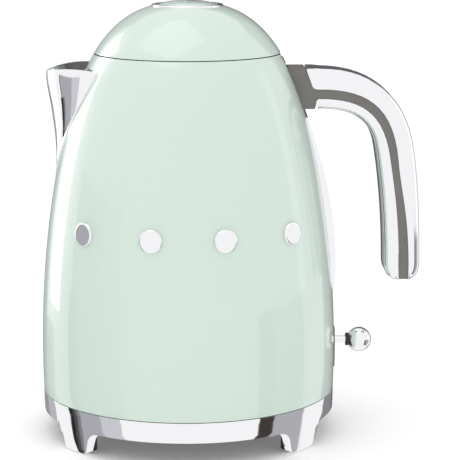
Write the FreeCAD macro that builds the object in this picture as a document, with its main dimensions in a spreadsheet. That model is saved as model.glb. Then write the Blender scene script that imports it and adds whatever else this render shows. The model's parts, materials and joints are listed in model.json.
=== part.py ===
import FreeCAD, Part
import math
import os
import re

import Sketcher

# Retro electric jug kettle on a swivelling power base.
# Frame: origin on the swivel axis at the level the feet stand on, +Z up,
# spout toward -X, handle, water window and lever switch toward +X.

os.makedirs("parts", exist_ok=True)
Vector = FreeCAD.Vector
document = FreeCAD.newDocument("kettle")

# ---------------------------------------------------------------- driving dimensions (mm)
SIZES = [
    # whole kettle
    ("total_height", 248.0),        # table to the crown of the lid button
    ("base_radius", 83.9),          # jug and skirt at the seam between them
    ("seam_level", 25.5),           # where the jug stands on the base
    ("seam_gap", 0.4),              # shadow gap at the base seam and the lid seam
    ("lid_radius", 52.7),           # shell at the lid seam
    ("dome_rise", 29.3),            # lid seam to the crown of the button
    ("wall", 1.0),                  # sheet steel of the shell and the lid
    ("belly_out", 2.9),             # how far the lower wall's control point stands out
    ("belly_pull", 72.9),           # and how high it is above the base seam
    ("shoulder_out", 21.8),         # upper control point, outside the lid seam
    ("shoulder_pull", 36.3),        # and below it
    ("running_gap", 0.3),           # between pieces that move past each other
    ("pin_gap", 0.05),              # radial clearance of a pin in its bore
    # base
    ("skirt_low", 14.0),            # lower edge of the skirt between the feet
    ("skirt_wall", 2.4),
    ("skirt_taper", 1.5),           # how far the skirt draws in down to the soles
    ("foot_width", 20.0),           # at the sole
    ("foot_side", 14.0),            # half width where a foot joins the skirt
    ("foot_flare", 8.0),            # concave radius there
    ("foot_corner", 3.5),
    ("foot_thick", 6.0),
    ("sole_lift", 0.8),             # metal foot above the table, on its rubber pad
    ("foot_turn", 39.0),            # angle of a foot from the spout and handle plane
    ("pad_radius", 5.0),
    ("plate_thick", 2.5),
    ("drum_radius", 46.0),          # cord storage drum under the base
    ("drum_low", 3.5),
    ("tower_radius", 17.0),
    ("tower_top", 38.0),
    ("tower_flange", 18.4),
    ("flange_share", 0.4),          # flange thickness in the room under the top plate
    ("tower_groove", 5.0),          # outer ring of the contact groove, inside the tower radius
    ("gland_radius", 4.0),
    ("gland_bore", 2.6),
    ("screw_radius", 1.6),
    ("screw_head", 3.2),
    ("screw_length", 10.0),
    # jug inside
    ("floor_level", 64.0),          # top of the heater floor
    ("floor_thick", 0.8),
    ("diffuser_radius", 44.0),
    ("diffuser_thick", 3.0),
    ("element_radius", 36.0),
    ("element_tube", 3.5),
    ("control_radius", 27.0),
    ("control_top", 56.0),
    ("cover_low", 26.2),
    ("cover_rim", 8.0),             # height of the upturned edges of the cover and the heater floor
    ("cover_screw_reach", 60.0),
    ("cover_screw_turn", 30.0),     # first of three screws, from +X
    ("seal_thick", 1.6),
    ("disc_radius", 6.0),
    ("disc_spread", 14.0),
    ("steam_radius", 4.0),
    ("steam_reach", 50.0),          # steam tube from the axis
    ("steam_turn", 35.0),           # and round from +X
    # neck and lid
    ("neck_radius", 44.0),          # clear opening of the collar
    ("neck_rise", 11.5),            # height of the collar
    ("neck_drop", 3.2),             # collar top below the lid seam
    ("plug_gap", 1.5),              # lid plug inside the collar
    ("hinge_drop", 5.5),            # hinge pin below the lid seam
    ("hinge_inset", 0.4),           # and inside the seam radius
    ("hinge_pin", 1.25),
    ("knuckle_radius", 2.8),
    ("knuckle_half", 7.0),
    ("ear_thick", 2.0),
    ("ring_outer", 20.4),           # trim ring round the button
    ("ring_rise", 26.3),            # lid seam to the dome's upper edge
    ("button_radius", 16.4),
    ("button_gap", 0.5),
    ("post_inner", 9.0),            # hollow post that guides the button's stem
    ("post_outer", 13.5),
    ("post_rise", 18.0),
    ("latch_half", 5.0),            # half width of the latch bar
    ("latch_thick", 4.0),
    ("latch_end", 8.0),             # inner end of the latch bar, beyond the axis
    ("stem_half", 3.0),
    # spout
    ("spout_reach", 27.7),          # tip outside the lid seam radius
    ("spout_drop", 10.3),           # tip below the lid seam
    ("spout_depth", 69.4),          # lowest point of the V below the lid seam
    ("spout_half", 28.0),           # half width of the V at the rim
    ("spout_wall", 1.3),
    ("rim_rise", 2.7),              # how far the pouring rim rises behind the tip
    ("trim_width", 2.4),
    ("trim_thick", 0.7),
    # handle
    ("handle_reach", 48.7),         # outside of the grip beyond the base radius
    ("handle_drop", 8.3),           # top of the handle below the lid seam
    ("handle_root", 21.3),          # metal shells start this far outside the lid seam
    ("handle_length", 121.5),       # top of the handle to its free end
    ("handle_depth", 22.8),         # height of the upper run
    ("grip_depth", 20.6),           # thickness of the grip at its free end
    ("handle_width", 25.0),
    ("band_inset", 0.6),            # grey band below the metal, on each side
    ("grip_round", 5.5),            # long edges of the outer shell
    ("grip_round_inner", 3.0),
    ("screw_drop_high", 7.0),       # handle screws below the top of the handle
    ("screw_drop_low", 17.0),
    # water window
    ("window_low", 54.5),           # lower end above the base seam
    ("window_high", 31.5),          # upper end below the lid seam
    ("window_width", 22.0),
    ("lens_width", 12.0),
    ("window_bulge", 4.0),
    # lever switch
    ("lever_level", 26.0),          # pivot above the base seam
    ("pivot_inset", 23.0),          # pivot inside the base radius
    ("lever_reach", 15.2),          # centre of the knob beyond the base radius
    ("ball_radius", 7.05),
    ("stem_radius", 2.0),
    ("lever_collar", 3.7),          # radius of the black collar against the knob
    ("lever_collar_length", 2.6),
    ("lever_pin", 1.5),
    ("hub_radius", 4.5),
    ("sleeve_radius", 3.4),
    ("sleeve_length", 15.0),
    ("cheek_inside", 4.5),          # inner faces of the bracket's two cheeks, from the middle
    ("cheek_thick", 2.0),
    ("bezel_width", 11.5),
    ("bezel_low", 10.5),            # above the base seam
    ("bezel_high", 33.5),
    ("bezel_thick", 0.6),
    # badge studs
    ("stud_radius", 6.5),
    ("stud_thick", 1.8),
    ("stud_level", 99.0),           # above the base seam
    ("stud_inner_turn", 14.6),      # from the front, -Y
    ("stud_outer_turn", 45.5),
]

sheet = document.addObject("Spreadsheet::Sheet", "Sizes")
for row, (alias, number) in enumerate(SIZES, 1):
    sheet.set(f"A{row}", alias)
    sheet.set(f"B{row}", str(number))
    sheet.setAlias(f"B{row}", alias)
document.recompute()
ALIASES = {alias for alias, number in SIZES}

# levels and reaches that several pieces share, as texts worked out from the sheet
LID = "(total_height - dome_rise)"
SHELL_TOP = f"({LID} - seam_gap)"
JUG_LOW = "(seam_level + seam_gap / 2)"
BASE_TOP = "(seam_level - seam_gap / 2)"
COLLAR_TOP = f"({LID} - neck_drop)"
COLLAR_LOW = f"({COLLAR_TOP} - neck_rise)"
HINGE_X = "(lid_radius - hinge_inset)"
HINGE_Z = f"({LID} - hinge_drop)"
DOME_TOP = f"({LID} + ring_rise)"
PLUG = "(neck_radius - plug_gap)"
PLUG_LOW = f"({COLLAR_LOW} + 2)"
FLANGE_LOW = f"({COLLAR_TOP} + 1.3)"
BAR_LOW = f"({PLUG_LOW} + 1.7)"
BAR_TOP = f"({BAR_LOW} + latch_thick)"
STEM_LOW = f"({BAR_TOP} - 0.7)"
HANDLE_TOP = f"({LID} - handle_drop)"
HANDLE_END = f"({HANDLE_TOP} - handle_length)"
ROOT = "(lid_radius + handle_root)"
GRIP = "(base_radius + handle_reach)"
PIVOT_X = "(base_radius - pivot_inset)"
PIVOT_Z = "(seam_level + lever_level)"
BALL_X = "(base_radius + lever_reach)"
FLOOR_LOW = "(floor_level - floor_thick)"
DIFFUSER_LOW = f"({FLOOR_LOW} - diffuser_thick)"
WINDOW_LOW = "(seam_level + window_low)"
WINDOW_HIGH = f"({LID} - window_high)"
TIP_X = "(lid_radius + spout_reach)"
TIP_Z = f"({LID} - spout_drop)"
V_LOW = f"({LID} - spout_depth)"
HANDLE_SCREWS = ("screw_drop_high", "screw_drop_low")

pieces = {}


def mm(text):
    """Number that a text comes to with the sheet's present values."""
    return float(sheet.evalExpression(str(text)))


def bound(text):
    """The same text as other objects have to write it, with the sheet's name before each alias."""
    return re.sub(r"[A-Za-z_]\w*", lambda m: "Sizes." + m.group(0) if m.group(0) in ALIASES else m.group(0),
                  str(text))


def keep(name, item):
    """Makes an object a sub-part: its label is the name of its file."""
    item.Label = name
    pieces[name] = item
    return item


# ---------------------------------------------------------------- sketch and feature helpers
def origin_feature(body, role):
    return [item for item in body.Origin.OriginFeatures if item.Role == role][0]


def new_body(name):
    return document.addObject("PartDesign::Body", name)


def new_sketch(body, plane, name="outline"):
    sketch = body.newObject("Sketcher::SketchObject", name)
    sketch.AttachmentSupport = (origin_feature(body, plane), [""])
    sketch.MapMode = "FlatFace"
    return sketch


def pin_point(sketch, element, position, spot):
    """Ties a point of a sketch to two texts, one for each sketch axis."""
    for kind, text in zip(("DistanceX", "DistanceY"), spot):
        index = sketch.addConstraint(Sketcher.Constraint(kind, element, position, mm(text)))
        sketch.setExpression(f"Constraints[{index}]", bound(text))


def add_line(sketch, start, end):
    return sketch.addGeometry(Part.LineSegment(start, end), False)


def add_curve(sketch, spots):
    """Cubic stretch whose four poles are tied to the sheet."""
    curve = Part.BSplineCurve()
    poles = [Vector(mm(x), mm(y), 0) for x, y in spots]
    curve.buildFromPolesMultsKnots(poles, [4, 4], [0, 1], False, 3)
    element = sketch.addGeometry(curve, False)
    sketch.exposeInternalGeometry(element)
    for offset, spot in enumerate(spots, 1):
        pin_point(sketch, element + offset, 3, spot)
    return element


def add_rounding(sketch, before, here, after, radius_text):
    """Arc at a corner; gives the arc, and the end of it that meets each neighbour."""
    into = (before - here).normalize()
    out = (after - here).normalize()
    half = into.getAngle(out) / 2
    radius = mm(radius_text)
    start = here + into * (radius / math.tan(half))
    end = here + out * (radius / math.tan(half))
    centre = here + (into + out).normalize() * (radius / math.sin(half))
    clockwise = into.cross(out).z > 0
    first, last = (end, start) if clockwise else (start, end)
    angles = [math.atan2(spot.y - centre.y, spot.x - centre.x) for spot in (first, last)]
    if angles[1] < angles[0]:
        angles[1] += 2 * math.pi
    circle = Part.Circle(centre, Vector(0, 0, 1), radius)
    arc = sketch.addGeometry(Part.ArcOfCircle(circle, angles[0], angles[1]), False)
    index = sketch.addConstraint(Sketcher.Constraint("Radius", arc, radius))
    sketch.setExpression(f"Constraints[{index}]", bound(radius_text))
    ends = (2, 1) if clockwise else (1, 2)
    return arc, ends, start, end


def draw_outline(sketch, steps):
    """Closed outline. A step is a corner (x, y) or (x, y, rounding), or a pair of
    curve handles ((x, y), (x, y)) that bends the way to the next corner."""
    corners = [step for step in steps if not isinstance(step[0], tuple)]
    bends = {}
    count = 0
    for step in steps:
        if isinstance(step[0], tuple):
            bends[count - 1] = step
        else:
            count += 1
    spots = [Vector(mm(corner[0]), mm(corner[1]), 0) for corner in corners]
    total = len(corners)
    leaving = []
    arriving = []
    roundings = []
    for i, corner in enumerate(corners):
        if len(corner) == 3:
            arc, ends, start, end = add_rounding(
                sketch, spots[i - 1], spots[i], spots[(i + 1) % total], corner[2])
            arriving.append((arc, ends[0], start))
            leaving.append((arc, ends[1], end))
            roundings.append(i)
        else:
            arriving.append((None, 0, spots[i]))
            leaving.append((None, 0, spots[i]))
    links = []
    for i in range(total):
        after = (i + 1) % total
        if i in bends:
            element = add_curve(sketch, [corners[i][:2], bends[i][0], bends[i][1], corners[after][:2]])
            links.append((element, True))
        else:
            links.append((add_line(sketch, leaving[i][2], arriving[after][2]), False))
    for i in range(total):
        element, bent = links[i]
        previous, previous_bent = links[i - 1]
        if i in roundings:
            sketch.addConstraint(Sketcher.Constraint("Tangent", previous, 2, arriving[i][0], arriving[i][1]))
            sketch.addConstraint(Sketcher.Constraint("Tangent", leaving[i][0], leaving[i][1], element, 1))
            corner = sketch.addGeometry(Part.Point(spots[i]), True)
            sketch.addConstraint(Sketcher.Constraint("PointOnObject", corner, 1, previous))
            sketch.addConstraint(Sketcher.Constraint("PointOnObject", corner, 1, element))
            pin_point(sketch, corner, 1, corners[i])
        elif not (bent and previous_bent):
            sketch.addConstraint(Sketcher.Constraint("Coincident", previous, 2, element, 1))
            if not bent and not previous_bent:
                pin_point(sketch, element, 1, corners[i])


def turned(name, steps, turn=360):
    """Body turned about Z from an outline of (radius, level) steps."""
    body = new_body(name)
    sketch = new_sketch(body, "XZ_Plane")
    draw_outline(sketch, steps)
    feature = body.newObject("PartDesign::Revolution", name + "_turn")
    feature.Profile = sketch
    feature.ReferenceAxis = (sketch, ["V_Axis"])
    feature.Angle = turn
    return body


def slab(name, plane, steps, depth, reverse=False, both=True):
    """Body padded from an outline: both ways from its plane, or to one side."""
    body = new_body(name)
    sketch = new_sketch(body, plane)
    draw_outline(sketch, steps)
    feature = body.newObject("PartDesign::Pad", name + "_pad")
    feature.Profile = sketch
    feature.setExpression("Length", bound(depth))
    if both:
        feature.SideType = "Symmetric"
    feature.Reversed = reverse
    return body


def stadium(half_width, low, high):
    """Upright slot outline with round ends, as (y, z) corners."""
    corner = f"({half_width} * 0.999)"
    return [(f"-{half_width}", low, corner), (half_width, low, corner),
            (half_width, high, corner), (f"-{half_width}", high, corner)]


def place(item, x="0", y="0", z="0"):
    for axis, text in zip("xyz", (x, y, z)):
        item.setExpression(f"Placement.Base.{axis}", bound(text))
    return item


def cylinder(name, radius, height, x="0", y="0", z="0", axis="z"):
    """Round bar that starts at a point and runs along one axis."""
    item = document.addObject("Part::Cylinder", name)
    item.setExpression("Radius", bound(radius))
    item.setExpression("Height", bound(height))
    turns = {"z": FreeCAD.Rotation(), "x": FreeCAD.Rotation(Vector(0, 1, 0), 90),
             "y": FreeCAD.Rotation(Vector(1, 0, 0), -90)}
    item.Placement = FreeCAD.Placement(Vector(), turns[axis])
    return place(item, x, y, z)


def block(name, x, y, z):
    """Box between a low and a high text on each axis."""
    item = document.addObject("Part::Box", name)
    for side, (low, high) in zip(("Length", "Width", "Height"), (x, y, z)):
        item.setExpression(side, bound(f"{high} - ({low})"))
    return place(item, x[0], y[0], z[0])


def ball(name, radius, x, y, z):
    item = document.addObject("Part::Sphere", name)
    item.setExpression("Radius", bound(radius))
    return place(item, x, y, z)


def cut(name, base, *others):
    """The base less every other object."""
    result = base
    for number, other in enumerate(others, 1):
        item = document.addObject("Part::Cut", f"{name}_{number}")
        item.Base = result
        item.Tool = other
        result = item
    return result


def joined(name, *items):
    item = document.addObject("Part::MultiFuse", name)
    item.Shapes = list(items)
    item.Refine = True
    return item


def shared(name, *items):
    item = document.addObject("Part::MultiCommon", name)
    item.Shapes = list(items)
    return item


def shaped(name, shape):
    """Object for a shape that sketches and primitives don't give."""
    item = document.addObject("Part::Feature", name)
    item.Shape = shape
    return item


# ---------------------------------------------------------------- the jug's curved wall
def wall_corners(offset, low=JUG_LOW, high=SHELL_TOP):
    """Lower corner, two handles and upper corner of the wall line, moved outward by an offset."""
    lean_x = math.cos(math.radians(31))
    lean_z = math.sin(math.radians(31))
    return [(f"(base_radius + {offset})", low),
            ((f"(base_radius + belly_out + {offset})", f"({low} + belly_pull)"),
             (f"(lid_radius + shoulder_out + {offset} * {lean_x:.3f})",
              f"({high} - shoulder_pull + {offset} * {lean_z:.3f})")),
            (f"(lid_radius + 0.2 + {offset} * {lean_x:.3f})", f"({high} + {offset} * {lean_z:.3f})")]


def wall_radius(level):
    """Outer radius of the jug's wall at a level."""
    low, (first, second), high = wall_corners("0")
    curve = Part.BezierCurve()
    curve.setPoles([Vector(mm(x), 0, mm(z)) for x, z in (low, first, second, high)])
    start, end = 0.0, 1.0
    for _ in range(40):
        middle = (start + end) / 2
        if curve.value(middle).z < level:
            start = middle
        else:
            end = middle
    return curve.value(start).x


def wall_solid(name, offset):
    """Solid of everything inside the wall line, moved outward by an offset."""
    low, bend, high = wall_corners(offset)
    return turned(name, [("0", low[1]), low, bend, high, ("0", high[1])])


wall_form = wall_solid("wall_form", "0")
trim_form = wall_solid("trim_form", "trim_thick")
inner_form = wall_solid("inner_form", "(-wall - 0.02)")


# ---------------------------------------------------------------- base
def foot_bar(name, turn):
    """Bar across the base: its two ends, kept to the skirt's ring, become two opposite feet."""
    half = "(foot_width / 2)"
    reach = "(foot_side + foot_flare)"
    above = "(skirt_low + skirt_wall)"
    bar = slab(name, "XZ_Plane", [
        (f"-{half}", "sole_lift", "foot_corner"), (half, "sole_lift", "foot_corner"),
        ("foot_side", "skirt_low", "foot_flare"), (reach, "skirt_low"), (reach, above),
        (f"-{reach}", above), (f"-{reach}", "skirt_low"), ("-foot_side", "skirt_low", "foot_flare")],
        "2 * base_radius + 20")
    bar.setExpression("Placement.Rotation.Angle", bound(turn))
    return bar


def make_skirt():
    inner = "(base_radius - skirt_wall)"
    wide = "(base_radius + 5)"
    lip = "(skirt_low + 1)"
    ring = turned("skirt_ring", [
        (inner, "skirt_low"), (wide, "skirt_low"), (wide, BASE_TOP), (inner, BASE_TOP)])
    feet_tube = turned("feet_tube", [
        ("(base_radius - foot_thick)", "sole_lift"), (wide, "sole_lift"), (wide, lip), (inner, lip),
        (inner, "skirt_low"), ("(base_radius - foot_thick)", "skirt_low")])
    bars = joined("foot_bars", foot_bar("foot_bar_1", "90 - foot_turn"),
                  foot_bar("foot_bar_2", "90 + foot_turn"))
    rough = joined("skirt_rough", ring, shared("feet", bars, feet_tube))
    form = turned("skirt_form", [
        ("0", "sole_lift"), ("(base_radius - skirt_taper)", "sole_lift"),
        (("(base_radius - skirt_taper * 0.4)", "(skirt_low * 0.7)"), ("base_radius", "skirt_low")),
        ("base_radius", BASE_TOP), ("0", BASE_TOP)])
    keep("base_skirt", shared("skirt_metal", rough, form))

    pads = []
    reach = "(base_radius - foot_thick - pad_radius - 0.05)"
    for number, turn in enumerate(four_turns("foot_turn"), 1):
        pads.append(cylinder(f"pad_{number}", "pad_radius", "skirt_low",
                             f"{reach} * {math.cos(turn):.5f}", f"{reach} * {math.sin(turn):.5f}"))
    keep("foot_pads", shared_group("rubber_pads", pads))


def four_turns(text):
    """Angles of four like things, mirrored about both upright planes of the kettle."""
    turn = math.radians(mm(text))
    return [turn, math.pi - turn, math.pi + turn, -turn]


def make_base():
    make_skirt()
    hub = "(tower_radius + running_gap)"
    shell_gap = "(base_radius - skirt_wall - running_gap)"
    keep("base_top_plate", turned("top_plate", [
        (hub, f"({BASE_TOP} - plate_thick)"), (shell_gap, f"({BASE_TOP} - plate_thick)"),
        (shell_gap, BASE_TOP), (hub, BASE_TOP)]))

    plate_top = "(skirt_low + plate_thick)"
    drum_inner = "(drum_radius - plate_thick)"
    plate = turned("bottom_plate_turned", [
        ("0", "skirt_low"), (drum_inner, "skirt_low"), (drum_inner, "drum_low"),
        ("drum_radius", "drum_low"), ("drum_radius", "skirt_low"), (shell_gap, "skirt_low"),
        (shell_gap, plate_top), ("0", plate_top)])
    gland_level = "(skirt_low + drum_low) / 2"
    outlet = cylinder("cord_outlet", "gland_radius", "20", y="drum_radius - 12", z=gland_level, axis="y")
    screw_spot = "(tower_flange + 9)"
    screw_bores = []
    screws = []
    for number, (side_x, side_y) in enumerate(((1, 1), (-1, 1), (-1, -1), (1, -1)), 1):
        x = f"({screw_spot} * {side_x})"
        y = f"({screw_spot} * {side_y})"
        screw_bores.append(cylinder(f"base_bore_{number}", "screw_radius + 0.1", "plate_thick + 2", x, y,
                                    "skirt_low - 1"))
        shank = cylinder(f"base_shank_{number}", "screw_radius", f"{BASE_TOP} - plate_thick - skirt_low",
                         x, y, "skirt_low")
        head = cylinder(f"base_head_{number}", "screw_head", "2", x, y, "skirt_low - 2")
        screws.append(joined(f"base_screw_{number}", shank, head))
    keep("base_bottom_plate", cut("bottom_plate", plate, outlet, *screw_bores))
    keep("base_screws", shared_group("base_screw_set", screws))

    bush = cylinder("gland_bush", "gland_radius", "plate_thick + 5", y="drum_radius - plate_thick - 2.5",
                    z=gland_level, axis="y")
    bore = cylinder("gland_hole", "gland_bore", "plate_thick + 7", y="drum_radius - plate_thick - 3.5",
                    z=gland_level, axis="y")
    keep("cord_gland", cut("gland", bush, bore))

    housing_floor = f"({plate_top} + 1.5)"
    housing_top = f"({BASE_TOP} - plate_thick)"
    keep("connector_housing", turned("housing", [
        ("0", plate_top), ("(tower_flange + 3)", plate_top), ("(tower_flange + 3)", housing_top),
        ("(tower_flange + running_gap)", housing_top), ("(tower_flange + running_gap)", housing_floor),
        ("0", housing_floor)]))


def shared_group(name, items):
    """Several separate solids of one kind as one sub-part."""
    item = document.addObject("Part::Compound", name)
    item.Links = items
    return item


def make_connector():
    low = "(skirt_low + plate_thick + 1.5 + running_gap)"
    flange_top = f"({low} + ({BASE_TOP} - plate_thick - {low}) * flange_share)"
    groove_in = "(tower_radius - tower_groove)"
    groove_low = "(tower_top - 7)"
    tower = turned("tower", [
        ("0", low), ("tower_flange", low), ("tower_flange", flange_top), ("tower_radius", flange_top),
        ("tower_radius", "tower_top", "2.5"), ("0", "tower_top")])
    groove = turned("contact_groove", [
        (groove_in, groove_low), (f"({groove_in} + 2)", groove_low),
        (f"({groove_in} + 2)", "(tower_top + 1)"), (groove_in, "(tower_top + 1)")])
    socket = cylinder("tower_socket", "3", "14", z="tower_top - 13")
    keep("connector_tower", cut("connector_tower_body", tower, groove, socket))
    keep("tower_contacts", turned("contact_ring", [
        (groove_in, groove_low), (f"({groove_in} + 0.8)", groove_low),
        (f"({groove_in} + 0.8)", "(tower_top - 1)"), (groove_in, "(tower_top - 1)")]))


# ---------------------------------------------------------------- jug shell and what is on it
def v_outline(inset):
    """The spout's V as (y, z) corners, drawn in by an inset."""
    half = f"(spout_half - {inset})"
    low = f"({V_LOW} + {inset} * 1.9)"
    top = f"({LID} - 8 )"
    return [("0", low), ((f"({half} * 0.46)", f"({low} + 13.7)"), (f"({half} * 0.79)", f"({low} + 35.7)")),
            (half, f"({LID} - 12)"), (half, top), (f"-{half}", top), (f"-{half}", f"({LID} - 12)"),
            ((f"-({half} * 0.79)", f"({low} + 35.7)"), (f"-({half} * 0.46)", f"({low} + 13.7)"))]


def v_prism(name, inset):
    """Bar with the V's outline, running toward the spout."""
    return slab(name, "YZ_Plane", v_outline(inset), "base_radius + spout_reach + 30", reverse=True,
                both=False)


def spout_section(level, inset):
    """Closed level section of the beak, drawn in by an inset: two bowed sides that meet
    at the nose, and a straight back inside the jug's wall."""
    rim = mm(TIP_Z)
    low = mm(V_LOW)
    share = max(0.0, min(1.0, (level - low) / (rim - low)))
    body = wall_radius(min(level, mm(SHELL_TOP)))
    bulge = (mm(TIP_X) - wall_radius(rim)) * share ** 1.6
    front = body + bulge + 0.3 - inset * 1.3
    half = max(mm("spout_half") * (1 - (1 - share) ** 1.55) + 0.6 - inset, 0.8)
    back = math.sqrt(max(body ** 2 - half ** 2, 1.0)) - 4
    reach = front - back
    nose = Vector(-front, 0, level)
    edges = []
    for side in (-1, 1):
        bow = Part.BezierCurve()
        bow.setPoles([Vector(-back, side * half, level),
                      Vector(-back - reach * 0.54, side * half * 0.98, level),
                      Vector(-back - reach * 0.90, side * half * 0.49, level), nose])
        edges.append(bow.toShape())
    edges.append(Part.makeLine(Vector(-back, half, level), Vector(-back, -half, level)))
    return Part.Wire([edges[0], edges[1], edges[2]])


def spout_loft(inset, low_level, high_level, count=7):
    levels = [low_level + (high_level - low_level) * step / (count - 1) for step in range(count)]
    return Part.makeLoft([spout_section(level, inset) for level in levels], True, False, False)


def make_shell():
    low, bend, high = wall_corners("0")
    inner_low, inner_bend, inner_high = wall_corners("(-wall)")
    shell = turned("shell_turned", [low, bend, high, inner_high, (inner_bend[1], inner_bend[0]), inner_low])
    notch = "(knuckle_half + ear_thick + 0.6)"
    shell_holes = [
        v_prism("spout_hole", "(trim_width + 4)"),
        slab("window_hole", "YZ_Plane", stadium("(lens_width / 2 + 1)", f"({WINDOW_LOW} + 5)",
                                                f"({WINDOW_HIGH} - 5)"), "base_radius + 20", both=False),
        block("lever_hole", ("base_radius - 44", "base_radius + 10"),
              ("-sleeve_radius - 0.3", "sleeve_radius + 0.3"),
              (f"{PIVOT_Z} - 13", f"{PIVOT_Z} + 4")),
        block("hinge_notch", (f"{HINGE_X} - 12", f"{HINGE_X} + 12"), (f"-{notch}", notch),
              (f"{HINGE_Z} - knuckle_radius - 0.8", f"{LID} + 5")),
    ]
    for number, drop in enumerate(HANDLE_SCREWS, 1):
        shell_holes.append(cylinder(f"handle_bore_{number}", "screw_radius + 0.5", "30", "lid_radius",
                                    z=f"{HANDLE_TOP} - {drop}", axis="x"))
    keep("jug_shell", cut("shell", shell, *shell_holes))

    studs = []
    level = mm("seam_level + stud_level")
    radius = wall_radius(level)
    for turn in (-mm("stud_outer_turn"), -mm("stud_inner_turn"), mm("stud_inner_turn"),
                 mm("stud_outer_turn")):
        angle = math.radians(turn - 90)
        outward = Vector(math.cos(angle), math.sin(angle), 0.06).normalize()
        centre = Vector(radius * math.cos(angle), radius * math.sin(angle), level)
        stud = Part.makeCylinder(mm("stud_radius"), 4 + mm("stud_thick"), centre - outward * 4, outward)
        crown = [edge for edge in stud.Edges if edge.Curve.TypeId == "Part::GeomCircle"
                 and (edge.Curve.Center - centre).dot(outward) > 0]
        studs.append(stud.makeFillet(mm("stud_thick") * 0.6, crown))
    studs_solid = shaped("studs_plain", Part.makeCompound(studs))
    keep("badge_studs", cut("studs", studs_solid, wall_form))


def make_spout():
    low = mm(V_LOW) + 2
    rim = mm(TIP_Z)
    outer = spout_loft(0.0, low, rim + 3)
    inner = spout_loft(mm("spout_wall"), low + 6, rim + 4)
    crest = f"({TIP_Z} + rim_rise * 0.6)"
    above_rim = slab("above_rim", "XZ_Plane", [
        (f"-({TIP_X} + 6)", TIP_Z), (f"-{TIP_X}", TIP_Z),
        ((f"-({TIP_X} - 7)", f"({TIP_Z} + rim_rise * 0.95)"),
         (f"-({TIP_X} - 18)", f"({TIP_Z} + rim_rise * 1.55)")),
        (f"-({TIP_X} - 31)", crest), ("0", crest), ("0", f"({TIP_Z} + 30)"),
        (f"-({TIP_X} + 6)", f"({TIP_Z} + 30)")], "2 * spout_half + 40")
    beak = cut("beak", shaped("beak_solid", outer.cut(inner)), above_rim)
    beak_outside = cut("beak_outside", beak, wall_form)
    trim_band = cut("trim_band", shared("trim_skin", v_prism("trim_prism", "0"), trim_form),
                    v_prism("trim_inner", "trim_width"), wall_form)
    keep("spout", joined("spout_metal", beak_outside, trim_band))

    above = f"({COLLAR_LOW} - running_gap)"
    headroom = turned("collar_headroom", [
        ("0", above), ("base_radius", above), ("base_radius", LID), ("0", LID)])

    def behind_wall(name, prism, front, back, hole=None):
        """Piece behind the V opening: a prism between two layers under the wall."""
        tools = [v_prism(f"{name}_hole", hole)] if hole else []
        tools += [wall_solid(f"{name}_back", back), headroom]
        return cut(name, shared(f"{name}_skin", v_prism(f"{name}_prism", prism), front), *tools)

    keep("spout_gasket", behind_wall("gasket_band", "(trim_width + 0.4)", inner_form, "(-wall - 1.4)",
                                     "(trim_width + 3.4)"))
    keep("filter_frame", behind_wall("filter_plate", "(trim_width + 3.6)", inner_form, "(-wall - 2)",
                                     "(trim_width + 7)"))
    mesh_front = wall_solid("mesh_front", "(-wall - 0.6)")
    keep("filter_mesh", behind_wall("mesh_plate", "(trim_width + 7.1)", mesh_front, "(-wall - 1.2)"))


def make_neck():
    outer_low = wall_radius(mm(COLLAR_LOW)) - mm("wall") - 0.2
    outer_top = wall_radius(mm(COLLAR_TOP)) - mm("wall") - 0.3
    ring = turned("collar_turned", [
        ("neck_radius", COLLAR_LOW), (f"{outer_low:.3f}", COLLAR_LOW), (f"{outer_top:.3f}", COLLAR_TOP),
        ("neck_radius", COLLAR_TOP)])
    slot_half = "(knuckle_half + running_gap)"
    slot = block("collar_slot", ("neck_radius - 4", "lid_radius + 10"), (f"-{slot_half}", slot_half),
                 (f"{COLLAR_LOW} - 1", f"{COLLAR_TOP} + 6"))
    recess = block("latch_recess", ("-neck_radius - 4", "-neck_radius + 2"), ("-6", "6"),
                   (f"{COLLAR_LOW} + 3", f"{COLLAR_LOW} + 9.5"))
    ears = []
    for number, side in enumerate((-1, 1), 1):
        low = "-knuckle_half - ear_thick - running_gap" if side < 0 else "knuckle_half + running_gap"
        high = "-knuckle_half - running_gap" if side < 0 else "knuckle_half + ear_thick + running_gap"
        plate = block(f"ear_plate_{number}", (f"{HINGE_X} - 8", HINGE_X), (low, high),
                      (f"{HINGE_Z} - knuckle_radius", COLLAR_TOP))
        eye = cylinder(f"ear_eye_{number}", "knuckle_radius", f"{high} - ({low})", HINGE_X, low, HINGE_Z, "y")
        ears.append(joined(f"ear_{number}", plate, eye))
    bore = cylinder("ear_bore", "hinge_pin", "40", HINGE_X, "-20", HINGE_Z, "y")
    solid = cut("collar_cut", ring, slot, recess)
    keep("neck_collar", cut("collar", joined("collar_ears", solid, *ears), bore))
    length = "2 * (knuckle_half + ear_thick + running_gap)"
    keep("hinge_pin", cylinder("lid_pin", "hinge_pin", length, HINGE_X,
                               "-knuckle_half - ear_thick - running_gap", HINGE_Z, "y"))


def window_bar(name, half_width, shorter):
    """Slot-shaped bar toward +X, shorter than the window by a margin at each end."""
    outline = stadium(half_width, f"({WINDOW_LOW} + {shorter})", f"({WINDOW_HIGH} - {shorter})")
    return slab(name, "YZ_Plane", outline, "base_radius + 20", both=False)


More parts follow.
